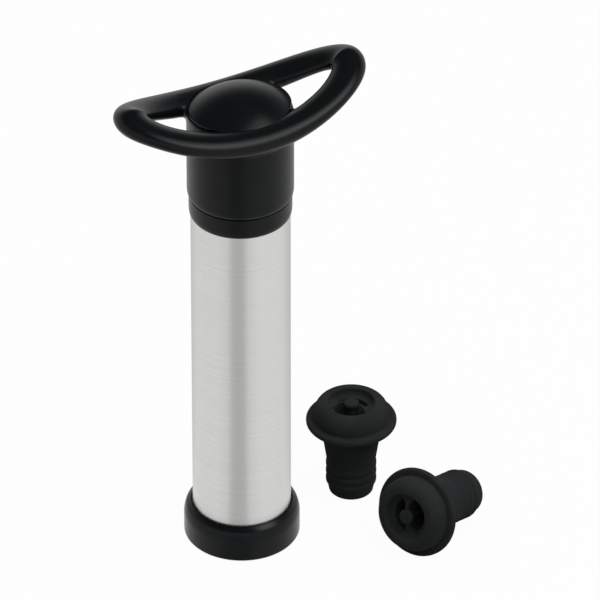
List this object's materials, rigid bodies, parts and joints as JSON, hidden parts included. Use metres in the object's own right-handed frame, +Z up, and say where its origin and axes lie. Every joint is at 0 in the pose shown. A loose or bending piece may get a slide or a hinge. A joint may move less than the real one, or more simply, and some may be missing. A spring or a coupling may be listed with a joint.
{
  "type": "wine vacuum pump",
  "caption": "Hand pump that draws the air from opened bottles: steel barrel, oval loop handle on a lifting plunger, bell foot, and separate ribbed rubber stoppers with a valve in the head.",
  "frame": {"origin": "on the table, under the middle of the outline of the pump and its stoppers", "axes": "+Z up along the pump's barrel, X along the handle's long side, the lying stopper on the -Y side"},
  "size_m": [0.1386, 0.0823, 0.2085],
  "materials": {
    "brushed_steel": "fine brushing round the barrel",
    "black_plastic": "satin moulding",
    "liner_plastic": "plain moulding, unseen",
    "rod_plastic": "smooth sliding surface",
    "bush_plastic": "waxy bearing plastic",
    "black_rubber": "matt moulded rubber",
    "seal_rubber": "matt seal rubber",
    "screw_steel": "plain steel"
  },
  "bodies": {
    "barrel": {"steel_tube": "brushed_steel", "cylinder_liner": "liner_plastic", "base_ring": "black_plastic", "inlet_cup": "black_plastic", "inlet_gasket": "seal_rubber", "cup_o_ring": "seal_rubber", "collar": "black_plastic", "rod_bush": "bush_plastic", "bumper_ring": "seal_rubber"},
    "piston": {"piston_head": "black_plastic", "piston_seal": "seal_rubber", "seal_retainer": "black_plastic"},
    "handle": {"piston_rod": "rod_plastic", "piston_screw": "screw_steel", "handle": "black_plastic", "handle_cap": "black_plastic", "handle_screw": "screw_steel", "handle_washer": "screw_steel"},
    "stopper_standing": {"stopper_standing": "black_rubber"},
    "stopper_lying": {"stopper_lying": "black_rubber"}
  },
  "joints": [
    {"name": "piston_stroke", "type": "slide", "parent": "barrel", "child": "piston", "axis": [0, 0, 1], "range_m": [0, 0.1]},
    {"name": "handle_swivel", "type": "hinge", "parent": "piston", "child": "handle", "pos_m": [-0.01766, 0.01781, 0.18], "axis": [0, 0, 1], "continuous": true},
    {"name": "standing_stopper_lift", "type": "slide", "parent": "barrel", "child": "stopper_standing", "axis": [0, 0, 1], "range_m": [0, 0.1]},
    {"name": "lying_stopper_lift", "type": "slide", "parent": "barrel", "child": "stopper_lying", "axis": [0, 0, 1], "range_m": [0, 0.1]}
  ]
}
